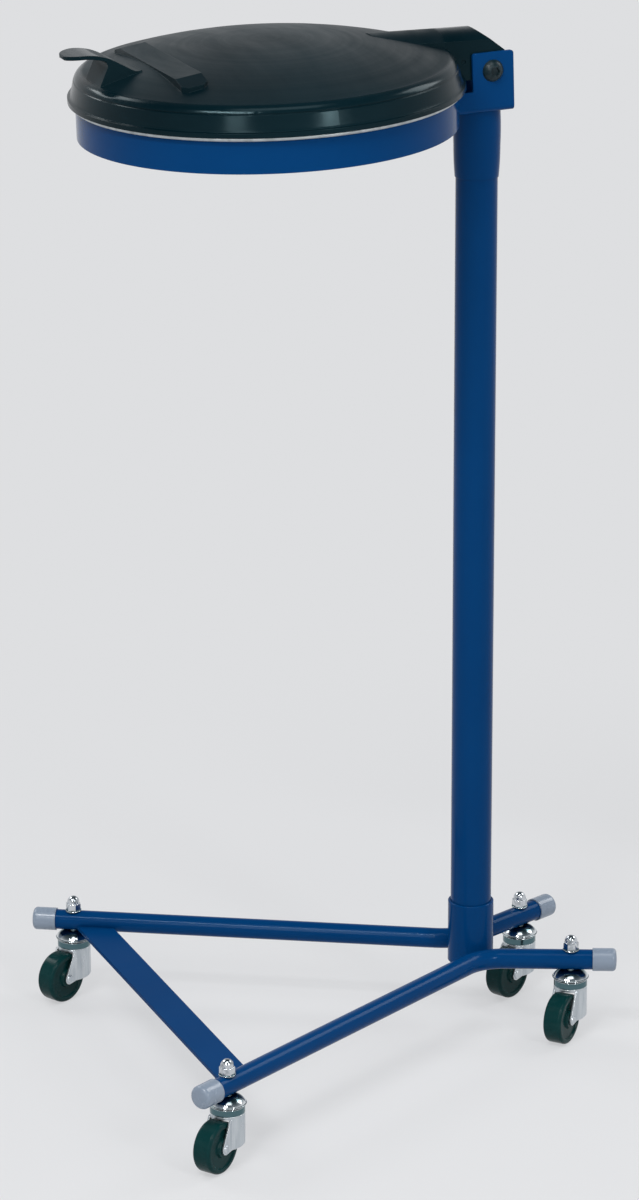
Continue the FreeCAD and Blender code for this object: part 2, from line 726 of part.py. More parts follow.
def add_pad(body):
    """Flat raised strip across the front of the dome, with its corners cut off."""
    loft(body, [
        pad_section(body, "0", "pad_corner"), pad_section(body, "pad_corner", "0"),
        pad_section(body, "pad_width - pad_corner", "0"), pad_section(body, "pad_width", "pad_corner"),
    ])


def add_grip(body):
    """Tongue that curves up from the front of the dome, with a post under its heel."""
    nose_y = "(nose_bulge - tip_back)"
    side = trace(new_sketch(body, "YZ_Plane"), [
        ("root_y", "post_foot_z"), ("root_y", "root_z"), ("ramp_y", "ramp_z", "-grip_fillet"),
        ("turn_y", "turn_z"), ("crest_y", "crest_z", "grip_crest_radius"),
        (nose_y, "nose_z", "nose_radius"), (nose_y, "nose_z - grip_thickness", "nose_round"),
        ("crest_y", "crest_z - grip_thickness", "grip_thickness - nose_radius"),
        ("heel_y", "heel_z", "-heel_radius"), ("post_y", "post_z", "-post_fillet"),
        ("post_foot_y", "post_foot_z"),
    ])
    pad(body, side, "grip_width", both_ways=True)
    corner = trace(new_sketch(body, "XY_Plane", "crest_z + grip_thickness"), [
        ("-grip_width / 2", "-tip_back - 1"), ("grip_width / 2", "-tip_back - 1"),
        ("grip_width / 2", "grip_corner - tip_back"),
        ("grip_width / 2 - grip_corner", "-tip_back", "-grip_corner"),
        ("grip_corner - grip_width / 2", "-tip_back"),
        ("-grip_width / 2", "grip_corner - tip_back", "-grip_corner"),
    ])
    cut_through(body, corner, "4 * grip_thickness", both_ways=False)


def lid_profile():
    """Outer outline of the lid from the middle of its top, as (radius, height, arc radius) steps."""
    lip = "(lid_lip_diameter / 2)"
    foot = "(lid_skirt_foot_diameter / 2)"
    top = "(lid_skirt_top_diameter / 2)"
    return [
        ("0", "lip_foot"), (lip, "lip_foot"), (lip, "lip_top"),
        (f"{foot} + lid_lip_fillet / 3", "lip_top + lid_lip_fillet / 4"),
        (foot, "lip_top + lid_lip_fillet"), (top, "skirt_top"),
        (f"{top} - lid_groove_depth", "skirt_top + lid_groove_width / 2"),
        (f"{top} - lid_shoulder_inset", "skirt_top + lid_groove_width"),
        ("dome_half", "dome_foot", "lid_shoulder_radius"),
        ("0", "dome_top", "lid_dome_radius"),
    ]


def lid_hollow():
    """Inner outline of the lid: it seats over the wire hoop and follows the outside."""
    seat = "(hoop_diameter / 2 + hoop_wire / 2 + lid_gap)"
    inner = "(lid_skirt_top_diameter / 2 - lid_groove_depth - lid_wall)"
    return [
        ("0", "lip_foot - 20"), (seat, "lip_foot - 20"), (seat, "lid_seat"),
        (inner, "lid_seat"), (inner, "skirt_top"),
        ("room_half", "dome_top - lid_wall - room_drop"),
        ("0", "dome_top - lid_wall", "room_radius"),
    ]


def build_caps():
    """Grey plastic caps pushed over the ends of the leg tubes."""
    for end, rise in (("front", -1), ("rear", 1)):
        for side, hand in ((-1, "left"), (1, "right")):
            radius = "cap_radius"
            flat = "(cap_radius - cap_round)"
            bow = f"-({flat} * {flat} + cap_bulge * cap_bulge) / (2 * cap_bulge)"
            body = turned_body(f"end_cap_{end}_{hand}", [
                ("0", "0"), (f"{radius} - cap_round", "-cap_bulge", bow),
                (radius, "-cap_bulge - cap_round", "-cap_round"), (radius, "-cap_length"),
                ("base_tube_diameter / 2", "-cap_length"), ("base_tube_diameter / 2", "-cap_end_wall"),
                ("0", "-cap_end_wall"),
            ])
            splay = f"({end}_splay * 1 deg)"
            x = f"{side} * (corner_x + {end}_reach * sin{splay})"
            y = f"column_y + {rise} * {end}_reach * cos{splay}"
            across = (f"-{rise} * cos{splay}", f"{side} * sin{splay}", "0")
            place(body, x, y, "tube_centre_height", across, "90")


def touch(px, pz, cx, cz, radius, hand):
    """Where a line from a point touches a circle. The hand picks one of the two touching points."""
    dx, dz = f"(({px}) - ({cx}))", f"(({pz}) - ({cz}))"
    square = f"({dx} * {dx} + {dz} * {dz})"
    near = f"({radius} * {radius} / {square})"
    across = f"({hand} * {radius} * sqrt({square} - {radius} * {radius}) / {square})"
    return f"{cx} + {near} * {dx} - {across} * {dz}", f"{cz} + {near} * {dz} + {across} * {dx}"


def castor_body(end, hand, label, path=None, axis="V_Axis"):
    """A castor piece, drawn with its swivel on Z, the floor at 0 and its wheel towards -Y."""
    body = new_body(f"castor_{end}_{hand}_{label}")
    if path:
        offset = None if axis == "V_Axis" else "castor_trail"
        spin(body, trace(new_sketch(body, "XZ_Plane", offset), path), axis=axis)
    side = "-" if hand == "left" else ""
    place(body, f"{side}{end}_castor_x", f"{end}_castor_y", "0", angle=f"turn_{end}_{hand}")
    return body


def build_fork(end, hand):
    """Pressed fork: round crown, two wings that follow it and run forward to the axle."""
    body = castor_body(end, hand, "fork")
    flat, inner = "(fork_width / 2)", "(fork_width / 2 - fork_wall)"
    radius, bore = "fork_radius", "(fork_radius - fork_wall)"
    edge = f"sqrt({radius} * {radius} - {flat} * {flat})"
    fold = f"sqrt({bore} * {bore} - {inner} * {inner})"
    toe = "(castor_trail + fork_toe_radius + 1)"
    lip_x, lip_y = f"({flat} * {bore} / {radius})", f"({edge} * {bore} / {radius})"
    plan = new_sketch(body, "XY_Plane", "fork_top - fork_crown")
    trace(plan, [
        (flat, f"-{toe}"), (flat, f"-{edge}"), (flat, edge, radius), (lip_x, lip_y),
        (inner, f"-{fold}", f"-{bore}"), (inner, f"-{toe}"),
    ])
    trace(plan, [
        (f"-{inner}", f"-{toe}"), (f"-{inner}", f"-{fold}"), (f"-{lip_x}", lip_y, f"-{bore}"),
        (f"-{flat}", edge), (f"-{flat}", f"-{edge}", radius), (f"-{flat}", f"-{toe}"),
    ])
    pad(body, plan, "fork_top - fork_crown", reverse=True)
    ahead, level, low = "-castor_trail", "axle_height", "fork_wing_foot"
    heel = f"{radius}"
    front = touch("-fork_shoulder", "fork_top - fork_crown", ahead, level, "fork_toe_radius", "1")
    under = touch(heel, low, ahead, level, "fork_toe_radius", "-1")
    clear = f"-{toe} - 2"
    trim = trace(new_sketch(body, "YZ_Plane"), [
        (heel, low), under, (*front, "-fork_toe_radius"), ("-fork_shoulder", "fork_top - fork_crown"),
        (clear, "fork_top - fork_crown"), (clear, "-2"), (heel, "-2"),
    ])
    cut_through(body, trim)
    crown = new_sketch(body, "XY_Plane", "fork_top - fork_crown")
    circle(crown, "0", "0", "2 * fork_radius")
    pad(body, crown, "fork_crown")
    stud_hole = new_sketch(body, "XY_Plane")
    circle(stud_hole, "0", "0", "stud_diameter + 2 * running_gap")
    cut_through(body, stud_hole)
    pin_hole = new_sketch(body, "YZ_Plane")
    circle(pin_hole, ahead, level, "axle_diameter")
    cut_through(body, pin_hole)


def build_castor(end, hand):
    """Swivel castor on a stud: wheel, axle rivet, fork, race, cup, stud, washer and cap nut."""
    build_fork(end, hand)
    along_axle = ("0", "axle_height", "10", "axle_height")
    bore = "axle_height + axle_diameter / 2 + running_gap"
    hub = "axle_height + hub_diameter / 2"
    web = "wheel_width / 2 - wheel_dish"
    tread = "axle_height + wheel_diameter / 2"
    rim = f"{tread} - tread_wall"
    castor_body(end, hand, "wheel", [
        ("-hub_width / 2", bore), ("hub_width / 2", bore), ("hub_width / 2", hub),
        (web, f"{hub} + 1"), (web, f"{rim}"), ("wheel_width / 2", f"{rim} + 1"),
        ("wheel_width / 2", f"{tread} - wheel_round"),
        ("wheel_width / 2 - wheel_round", tread, "wheel_round"),
        ("wheel_round - wheel_width / 2", tread),
        ("-wheel_width / 2", f"{tread} - wheel_round", "wheel_round"),
        ("-wheel_width / 2", f"{rim} + 1"), (f"-({web})", rim), (f"-({web})", f"{hub} + 1"),
        ("-hub_width / 2", hub),
    ], along_axle)
    pin_radius = "axle_height + axle_diameter / 2"
    head = "axle_height + axle_head_diameter / 2"
    outside = "fork_width / 2"
    castor_body(end, hand, "axle", [
        (f"-{outside} - axle_head_height", "axle_height"), (f"{outside} + axle_head_height", "axle_height"),
        (f"{outside} + axle_head_height", f"{head} - 1"), (outside, head), (outside, pin_radius),
        (f"-{outside}", pin_radius), (f"-{outside}", head), (f"-{outside} - axle_head_height", f"{head} - 1"),
    ], along_axle)
    stud, hole = "stud_diameter / 2", "stud_diameter / 2 + running_gap"
    castor_body(end, hand, "race", [
        (hole, "race_foot"), ("race_diameter / 2", "race_foot"), ("race_diameter / 2", "race_top"),
        ("race_diameter / 2 - race_wall", "race_top"), ("race_diameter / 2 - race_wall", "race_foot + race_wall"),
        ("race_hub_diameter / 2", "race_foot + race_wall"),
        ("race_hub_diameter / 2", "castor_height - cup_wall - running_gap"),
        (hole, "castor_height - cup_wall - running_gap"),
    ])
    castor_body(end, hand, "cup", [
        ("stud_diameter / 2 + slip_gap", "castor_height"), ("stud_diameter / 2 + slip_gap", "castor_height - cup_wall"),
        ("cup_seat_diameter / 2", "castor_height - cup_wall"),
        ("cup_diameter / 2 - cup_wall", "cup_foot + cup_rim"), ("cup_diameter / 2 - cup_wall", "cup_foot"),
        ("cup_diameter / 2", "cup_foot"), ("cup_diameter / 2", "cup_foot + cup_rim"),
        ("cup_seat_diameter / 2", "castor_height", "cup_diameter / 2"),
    ])
    head_top = "fork_top - fork_crown - running_gap"
    castor_body(end, hand, "stud", [
        ("0", f"{head_top} - stud_head_height"), ("stud_head_diameter / 2 - 0.8", f"{head_top} - stud_head_height"),
        ("stud_head_diameter / 2", f"{head_top} - stud_head_height + 0.8"), ("stud_head_diameter / 2", head_top),
        (stud, head_top), (stud, "nut_seat + nut_height - nut_skin"), ("0", "nut_seat + nut_height - nut_skin"),
    ])
    castor_body(end, hand, "washer", [
        ("stud_diameter / 2 + slip_gap", "washer_seat"), ("washer_diameter / 2", "washer_seat"),
        ("washer_diameter / 2", "nut_seat"), ("stud_diameter / 2 + slip_gap", "nut_seat"),
    ])
    nut = castor_body(end, hand, "cap_nut")
    pad(nut, hexagon(new_sketch(nut, "XY_Plane", "nut_seat"), "nut_across_flats"), "nut_hex_height")
    dome = "nut_seat + nut_height - nut_dome_diameter / 2"
    spin(nut, trace(new_sketch(nut, "XZ_Plane"), [
        ("0", "nut_seat"), ("nut_dome_diameter / 2", "nut_seat"), ("nut_dome_diameter / 2", dome),
        ("0", "nut_seat + nut_height", "nut_dome_diameter / 2"),
    ]))
    bore = new_sketch(nut, "XY_Plane", "nut_seat + nut_height - nut_skin")
    circle(bore, "0", "0", "stud_diameter")
    cut_through(nut, bore, both_ways=False)


def check_all():
    doc.recompute()
    for thing in doc.Objects:
        if "Invalid" in thing.State or "Error" in thing.State:
            raise RuntimeError(f"{thing.Name} {thing.Label} failed: {thing.State}")
    for thing in pieces:
        if thing.Shape.isNull() or not thing.Shape.isValid() or thing.Shape.Volume <= 0:
            raise RuntimeError(f"{thing.Label} has no valid solid")


fill_sheet()
for side, hand in ((-1, "left"), (1, "right")):
    build_base_tube(side, "base_tube_" + hand)
build_brace()
build_socket()
build_column()
build_collar()
build_bracket()
build_ring()
build_hoop()
build_hinge()
build_lid()
build_caps()
for end in ("front", "rear"):
    for hand in ("left", "right"):
        build_castor(end, hand)
check_all()
os.makedirs("parts", exist_ok=True)
for thing in pieces:
    thing.Shape.exportStep(f"parts/{thing.Label}.step")
    print(thing.Label, round(thing.Shape.Volume), thing.Shape.BoundBox)
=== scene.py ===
import json
import math

import bpy
from mathutils import Matrix, Vector


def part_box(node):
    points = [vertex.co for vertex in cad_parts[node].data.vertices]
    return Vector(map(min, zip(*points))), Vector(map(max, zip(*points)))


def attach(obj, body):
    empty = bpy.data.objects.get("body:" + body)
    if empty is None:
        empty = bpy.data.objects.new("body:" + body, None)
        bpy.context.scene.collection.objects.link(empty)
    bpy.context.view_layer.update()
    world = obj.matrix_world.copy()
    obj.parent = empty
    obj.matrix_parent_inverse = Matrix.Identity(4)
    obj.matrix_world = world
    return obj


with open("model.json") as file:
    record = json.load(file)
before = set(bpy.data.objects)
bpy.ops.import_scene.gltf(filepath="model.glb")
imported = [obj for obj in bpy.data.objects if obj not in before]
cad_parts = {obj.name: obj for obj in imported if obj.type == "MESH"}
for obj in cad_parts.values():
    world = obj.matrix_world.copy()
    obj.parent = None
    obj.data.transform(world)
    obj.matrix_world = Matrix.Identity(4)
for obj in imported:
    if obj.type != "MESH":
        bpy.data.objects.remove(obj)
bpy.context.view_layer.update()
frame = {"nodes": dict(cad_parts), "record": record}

print("frame loaded:", len(frame["nodes"]), "nodes")

scene = bpy.context.scene
nodes = frame["nodes"]

camera = {
    "place": (4.00764, -1.60514, 1.86938),   # metres, above and in front of the right side
    "yaw": -21.607,                          # degrees round Z from the +X side
    "pitch": 18.063,                         # degrees, looking down
    "roll": -0.140,
    "sensorWidth": 36,                       # millimetres, for the long side of the picture
    "focalPixels": 4744.1,
    "pictureHeight": 1200,                   # pixels
    "clipEnd": 50,
}


def makeCamera(values):
    lens = bpy.data.cameras.new("viewCamera")
    lens.sensor_width = values["sensorWidth"]
    lens.lens = values["focalPixels"] / values["pictureHeight"] * values["sensorWidth"]
    lens.clip_end = values["clipEnd"]
    yaw, pitch, roll = (math.radians(values[key]) for key in ("yaw", "pitch", "roll"))
    forward = Vector((-math.cos(pitch) * math.cos(yaw), -math.cos(pitch) * math.sin(yaw),
                      -math.sin(pitch)))
    right = Vector((-math.sin(yaw), math.cos(yaw), 0))
    up = right.cross(forward)
    turnedRight = right * math.cos(roll) + up * math.sin(roll)
    turnedUp = up * math.cos(roll) - right * math.sin(roll)
    axes = Matrix((turnedRight, turnedUp, -forward)).transposed().to_4x4()
    eye = bpy.data.objects.new("viewCamera", lens)
    eye.matrix_world = Matrix.Translation(values["place"]) @ axes
    scene.collection.objects.link(eye)
    scene.camera = eye


makeCamera(camera)
print("camera placed")


# Node helpers. Each takes a material or the world as its owner.

mixSockets = {"factor": 0, "first": 6, "second": 7, "result": 2}    # of a Mix node set to colour
edgeSamples = 6                                                     # rays that soften each edge


def addNode(owner, kind, **settings):
    node = owner.node_tree.nodes.new(kind)
    for name, value in settings.items():
        if hasattr(node, name):
            setattr(node, name, value)
        else:
            node.inputs[name].default_value = value
    return node


def join(owner, source, target):
    owner.node_tree.links.new(source, target)


def noise(owner, values):
    place = addNode(owner, "ShaderNodeTexCoord")
    spread = addNode(owner, "ShaderNodeMapping", Scale=values.get("stretch", (1, 1, 1)))
    grain = addNode(owner, "ShaderNodeTexNoise", Scale=values["scale"], Detail=values["detail"],
                    Roughness=values.get("fineness", 0.5))
    join(owner, place.outputs["Object"], spread.inputs["Vector"])
    join(owner, spread.outputs["Vector"], grain.inputs["Vector"])
    return grain.outputs["Fac"]


def ramp(owner, source, start, end, startValue, endValue, kind="LINEAR"):
    change = addNode(owner, "ShaderNodeMapRange", interpolation_type=kind)
    for socket, value in (("From Min", start), ("From Max", end), ("To Min", startValue),
                          ("To Max", endValue)):
        change.inputs[socket].default_value = value
    join(owner, source, change.inputs["Value"])
    return change.outputs["Result"]


def combine(owner, operation, first, second, clamp=False):
    result = addNode(owner, "ShaderNodeMath", operation=operation, use_clamp=clamp)
    join(owner, first, result.inputs[0])
    join(owner, second, result.inputs[1])
    return result.outputs["Value"]


def blendColors(owner, factor, first, second):
    mix = addNode(owner, "ShaderNodeMix", data_type="RGBA")
    for side, color in (("first", first), ("second", second)):
        socket = mix.inputs[mixSockets[side]]
        if isinstance(color, tuple):
            socket.default_value = (*color, 1)
        else:
            join(owner, color, socket)
    join(owner, factor, mix.inputs[mixSockets["factor"]])
    return mix.outputs[mixSockets["result"]]


# Material helpers. Every surface starts from a shader and gets its blotches, wear and grain from
# procedural nodes.

def newMaterial(name, values):
    material = bpy.data.materials.new(name)
    material.use_nodes = True
    shader = material.node_tree.nodes["Principled BSDF"]
    shader.inputs["Base Color"].default_value = (*values["color"], 1)
    shader.inputs["Roughness"].default_value = values["roughness"]
    shader.inputs["Metallic"].default_value = values.get("metallic", 0)
    shader.inputs["Specular IOR Level"].default_value = values.get("specular", 0.5)
    shader.inputs["Specular Tint"].default_value = (*values.get("tint", (1, 1, 1)), 1)
    return material, shader


def blotches(material, values):
    spots = values["blotch"]
    share = ramp(material, noise(material, spots), spots["from"], spots["to"], 0, spots["most"])
    return blendColors(material, share, values["color"], spots["color"])


def varyRoughness(material, shader, values, source=None):
    wear = values["wear"]
    spread = ramp(material, source or noise(material, wear), wear["from"], wear["to"],
                  values["roughness"] - wear["less"], values["roughness"] + wear["more"])
    join(material, spread, shader.inputs["Roughness"])


def softEdges(material, values):
    rounded = addNode(material, "ShaderNodeBevel", samples=edgeSamples, Radius=values["edge"])
    return rounded.outputs["Normal"]


def bump(material, shader, source, values, under=None):
    lift = addNode(material, "ShaderNodeBump", Strength=values["strength"], Distance=values["depth"])
    join(material, source, lift.inputs["Height"])
    if under is not None:
        join(material, under, lift.inputs["Normal"])
    join(material, lift.outputs["Normal"], shader.inputs["Normal"])
    return lift.outputs["Normal"]


def addGrain(material, shader, values, under=None):
    bump(material, shader, noise(material, values["grain"]), values["grain"], under)


def makeCoat(name, values):
    material, shader = newMaterial(name, values)
    join(material, blotches(material, values), shader.inputs["Base Color"])
    if "wear" in values:
        varyRoughness(material, shader, values)
    addGrain(material, shader, values, softEdges(material, values))
    return material


# Plain coats and mouldings. Lengths are metres, and a tint is that of the reflections.

bluePaint = {
    "color": (0.0005, 0.034, 0.126),
    "roughness": 0.13,
    "specular": 0.08,
    "tint": (0.55, 0.8, 1.0),
    "edge": 0.0009,
    "blotch": {"color": (0.0010, 0.041, 0.146), "scale": 7, "detail": 3,
               "from": 0.35, "to": 0.75, "most": 0.6},      # where the powder coat is thin
    "wear": {"scale": 25, "detail": 5, "from": 0.3, "to": 0.7, "less": 0.02, "more": 0.05},
    "grain": {"scale": 650, "detail": 2, "strength": 0.02, "depth": 0.0003},    # orange peel
}

flatBarPaint = {**bluePaint, "roughness": 0.3, "specular": 0.015}    # duller on the flat bar

greyPlastic = {
    "color": (0.205, 0.252, 0.318),
    "roughness": 0.22,
    "edge": 0.0008,
    "blotch": {"color": (0.175, 0.218, 0.282), "scale": 45, "detail": 5,
               "from": 0.4, "to": 0.75, "most": 0.8},
    "wear": {"scale": 90, "detail": 4, "from": 0.3, "to": 0.7, "less": 0.06, "more": 0.1},
    "grain": {"scale": 1100, "detail": 2, "strength": 0.06, "depth": 0.0002},
}

wheelPlastic = {
    "color": (0.002, 0.028, 0.029),
    "roughness": 0.2,
    "specular": 0.09,
    "edge": 0.0006,
    "blotch": {"color": (0.010, 0.042, 0.043), "scale": 70, "detail": 8, "stretch": (1, 1, 3),
               "fineness": 0.7, "from": 0.5, "to": 0.78, "most": 0.7},          # scuffs
    "wear": {"scale": 60, "detail": 4, "from": 0.3, "to": 0.7, "less": 0.05, "more": 0.12},
    "grain": {"scale": 1500, "detail": 2, "strength": 0.06, "depth": 0.0002},
}

nutSteel = {
    "color": (0.62, 0.65, 0.68),
    "roughness": 0.07,
    "metallic": 1,
    "edge": 0.0005,
    "blotch": {"color": (0.16, 0.19, 0.21), "scale": 170, "detail": 4,
               "from": 0.45, "to": 0.7, "most": 0.8},
    "wear": {"scale": 300, "detail": 4, "from": 0.3, "to": 0.7, "less": 0, "more": 0.1},
    "grain": {"scale": 400, "detail": 3, "strength": 0.08, "depth": 0.0003},
}

blackSteel = {
    "color": (0.004, 0.013, 0.017),
    "roughness": 0.34,
    "specular": 0.2,
    "edge": 0.0005,
    "blotch": {"color": (0.02, 0.036, 0.042), "scale": 300, "detail": 6,
               "from": 0.45, "to": 0.75, "most": 1},        # where the oxide is rubbed
    "grain": {"scale": 1800, "detail": 3, "strength": 0.08, "depth": 0.0002},
}


# The lid: a spark-finished dome inside a polished shoulder and skirt.

blackPlastic = {
    "color": (0.0003, 0.0055, 0.0085),
    "roughness": 0.17,
    "specular": 0.13,
    "tint": (0.6, 0.92, 1.0),
    "edge": 0.0007,
    "blotch": {"color": (0.003, 0.013, 0.018), "scale": 6, "detail": 6, "stretch": (1, 1, 3),
               "from": 0.4, "to": 0.75, "most": 0.8},
    "grain": {"scale": 1200, "detail": 3, "strength": 0.04, "depth": 0.0002},
    "middle": (0, -0.0697, 0.99),       # of the dome, where the mould was filled
    "matt": {"roughness": 0.40, "from": 0.167, "to": 0.171},    # out to these radii
    "rings": {"scale": 95, "detail": 3, "share": 0.45, "strength": 0.05, "depth": 0.001},
    "smear": {"scale": 11, "detail": 7, "stretch": (1, 3.5, 1), "fineness": 0.6,
              "from": 0.5, "to": 1.0, "less": 0.03, "more": 0.09},
}


def fromMiddle(material, middle):
    place = addNode(material, "ShaderNodeTexCoord")
    away = addNode(material, "ShaderNodeVectorMath", operation="SUBTRACT")
    flat = addNode(material, "ShaderNodeVectorMath", operation="MULTIPLY")
    reach = addNode(material, "ShaderNodeVectorMath", operation="LENGTH")
    away.inputs[1].default_value = middle
    flat.inputs[1].default_value = (1, 1, 0)
    join(material, place.outputs["Object"], away.inputs[0])
    join(material, away.outputs["Vector"], flat.inputs[0])
    join(material, flat.outputs["Vector"], reach.inputs[0])
    return reach.outputs["Value"]


def makeBlackPlastic(values):
    material, shader = newMaterial("blackMoulding", values)
    join(material, blotches(material, values), shader.inputs["Base Color"])
    matt, turned, smear = values["matt"], values["rings"], values["smear"]
    reach = fromMiddle(material, values["middle"])
    rings = addNode(material, "ShaderNodeTexNoise", noise_dimensions="1D", Scale=turned["scale"],
                    Detail=turned["detail"])        # faint rings left by the turned mould
    join(material, reach, rings.inputs["W"])
    smeared = addNode(material, "ShaderNodeMath", operation="MULTIPLY_ADD")
    smeared.inputs[1].default_value = turned["share"]
    join(material, rings.outputs["Fac"], smeared.inputs[0])
    join(material, noise(material, smear), smeared.inputs[2])
    gloss = ramp(material, smeared.outputs["Value"], smear["from"], smear["to"], -smear["less"],
                 smear["more"])
    finish = ramp(material, reach, matt["from"], matt["to"], matt["roughness"], values["roughness"])
    join(material, combine(material, "ADD", gloss, finish), shader.inputs["Roughness"])
    under = bump(material, shader, rings.outputs["Fac"], turned, softEdges(material, values))
    addGrain(material, shader, values, under)
    return material


# Plated metals.

zincSteel = {
    "color": (0.60, 0.64, 0.67),
    "roughness": 0.3,
    "metallic": 1,
    "edge": 0.0007,
    "blotch": {"color": (0.44, 0.49, 0.53), "scale": 240, "detail": 5, "stretch": (1, 1, 0.12),
               "from": 0.38, "to": 0.7, "most": 1},
    "wear": {"scale": 160, "detail": 5, "stretch": (1, 1, 0.2), "from": 0.3, "to": 0.7,
             "less": 0.07, "more": 0.12},
    "grain": {"scale": 900, "detail": 3, "strength": 0.05, "depth": 0.0002},
    # painted edge highlight: a near-white colour where the bevelled normal bends
    "paintedEdgeHighlight": {"color": (0.95, 0.96, 0.97), "from": 0.99, "to": 0.9, "most": 0.9},
}


def makeZincSteel(values):
    material, shader = newMaterial("zincPlatedSteel", values)
    paintedEdgeHighlight = values["paintedEdgeHighlight"]                       # painted highlight on the edges, where the normal bends
    rounded = softEdges(material, values)
    shape = addNode(material, "ShaderNodeNewGeometry")
    turn = addNode(material, "ShaderNodeVectorMath", operation="DOT_PRODUCT")
    join(material, rounded, turn.inputs[0])
    join(material, shape.outputs["Normal"], turn.inputs[1])
    share = ramp(material, turn.outputs["Value"], paintedEdgeHighlight["from"], paintedEdgeHighlight["to"], 0, paintedEdgeHighlight["most"])
    blotchesAndEdgeHighlight = blendColors(material, share, blotches(material, values), paintedEdgeHighlight["color"])
    join(material, blotchesAndEdgeHighlight, shader.inputs["Base Color"])
    varyRoughness(material, shader, values)
    addGrain(material, shader, values, rounded)
    return material


chromeSteel = {
    "color": (0.80, 0.83, 0.85),
    "paintedDarkReflection": (0.09, 0.16, 0.18),         # painted dark reflection, green-tinted, on upright and flat faces
    "roughness": 0.08,
    "metallic": 1,
    "edge": 0.0011,
    "paintedReflectionStops": ((0.10, 0), (0.26, 1), (0.62, 1), (0.84, 0)),      # painted reflection: leaning faces such as the rolled rims light, the rest dark
    "wear": {"scale": 220, "detail": 5, "from": 0.35, "to": 0.75, "less": 0, "more": 0.12},
    "grain": {"scale": 500, "detail": 3, "strength": 0.05, "depth": 0.0002},
}


def makeChromeSteel(values):
    material, shader = newMaterial("brightPlatedSteel", values)
    rounded = softEdges(material, values)
    # The base colour is painted reflection: light or dark with how far the bevelled normal leans
    # from upright.
    split = addNode(material, "ShaderNodeSeparateXYZ")
    lean = addNode(material, "ShaderNodeMath", operation="ABSOLUTE")
    faces = addNode(material, "ShaderNodeValToRGB")
    while len(faces.color_ramp.elements) < len(values["paintedReflectionStops"]):
        faces.color_ramp.elements.new(0.5)          # each is moved to its place below
    for stop, (where, share) in zip(faces.color_ramp.elements, values["paintedReflectionStops"]):
        stop.position = where
        stop.color = (*(paintedDarkReflection + (bright - paintedDarkReflection) * share
                        for paintedDarkReflection, bright in zip(values["paintedDarkReflection"], values["color"])), 1)
    join(material, rounded, split.inputs["Vector"])
    join(material, split.outputs["Z"], lean.inputs[0])
    join(material, lean.outputs["Value"], faces.inputs["Fac"])
    join(material, faces.outputs["Color"], shader.inputs["Base Color"])
    varyRoughness(material, shader, values)
    addGrain(material, shader, values, rounded)
    return material


galvanisedWire = {
    "color": (0.50, 0.53, 0.54),
    "roughness": 0.36,
    "metallic": 1,
    "spangle": 420,
    "blotch": {"color": (0.30, 0.33, 0.34), "scale": 130, "detail": 6,
               "from": 0.4, "to": 0.72, "most": 0.8},
    "wear": {"from": 0, "to": 0.6, "less": 0.06, "more": 0.1},
    "grain": {"scale": 1400, "detail": 3, "strength": 0.06, "depth": 0.0002},
}


def makeGalvanisedWire(values):
    material, shader = newMaterial("galvanisedWire", values)
    join(material, blotches(material, values), shader.inputs["Base Color"])
    place = addNode(material, "ShaderNodeTexCoord")
    spangle = addNode(material, "ShaderNodeTexVoronoi", Scale=values["spangle"])
    join(material, place.outputs["Object"], spangle.inputs["Vector"])
    varyRoughness(material, shader, values, spangle.outputs["Distance"])
    addGrain(material, shader, values)
    return material


finishes = {
    "blue_paint": makeCoat("bluePowderCoat", bluePaint),
    "black_plastic": makeBlackPlastic(blackPlastic),
    "grey_plastic": makeCoat("greyCapPlastic", greyPlastic),
    "wheel_plastic": makeCoat("wheelPolymer", wheelPlastic),
    "zinc_steel": makeZincSteel(zincSteel),
    "chrome_steel": makeChromeSteel(chromeSteel),
    "galvanised_steel": makeGalvanisedWire(galvanisedWire),
    "black_steel": makeCoat("blackOxideSteel", blackSteel),
}
ownFinish = {"brace_bar": makeCoat("blueFlatBarCoat", flatBarPaint)}    # nodes unlike their slot
nutFinish = makeCoat("brightCapNut", nutSteel)
ownFinish.update({name: nutFinish for name in nodes if name.endswith("cap_nut")})
print("materials made:", len(finishes) + len(set(ownFinish.values())))

slotOf = {row["node"]: row["material_slot"] for row in frame["record"]["subparts"]}

for name, piece in nodes.items():
    piece.data.materials.clear()
    piece.data.materials.append(ownFinish.get(name) or finishes[slotOf[name]])
print("nodes dressed:", len(nodes))


# Rolled rims at the foot of each castor's pressed cup, in metres.

cupRim = {"radius": 0.0176, "thickness": 0.00055, "lift": 0.0004, "sides": 72, "section": 10}


def ringMesh(name, values):
    sides, section = values["sides"], values["section"]
    points, faces = [], []
    for step in range(sides):
        around = 2 * math.pi * step / sides
        start, ahead = step * section, (step + 1) % sides * section
        for part in range(section):
            turn = 2 * math.pi * part / section
            reach = values["radius"] + values["thickness"] * math.cos(turn)
            points.append((reach * math.cos(around), reach * math.sin(around),
                           values["thickness"] * math.sin(turn)))
            follow = (part + 1) % section
            faces.append((start + part, ahead + part, ahead + follow, start + follow))
    mesh = bpy.data.meshes.new(name)
    mesh.from_pydata(points, [], faces)
    for face in mesh.polygons:
        face.use_smooth = True
    return mesh


def addCupRim(node, name):
    low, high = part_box(node)
    mesh = ringMesh(name, cupRim)
    mesh.materials.append(finishes["chrome_steel"])
    rim = bpy.data.objects.new(name, mesh)
    rim.location = ((low[0] + high[0]) / 2, (low[1] + high[1]) / 2, low[2] + cupRim["lift"])
    scene.collection.objects.link(rim)
    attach(rim, "stand")


for corner in ("front_left", "front_right", "rear_left", "rear_right"):
    addCupRim(f"castor_{corner}_cup", f"rolledRim_{corner}")
print("castor rims added")


# Studio: pale floor and walls, a dimmer ceiling, soft lamps.

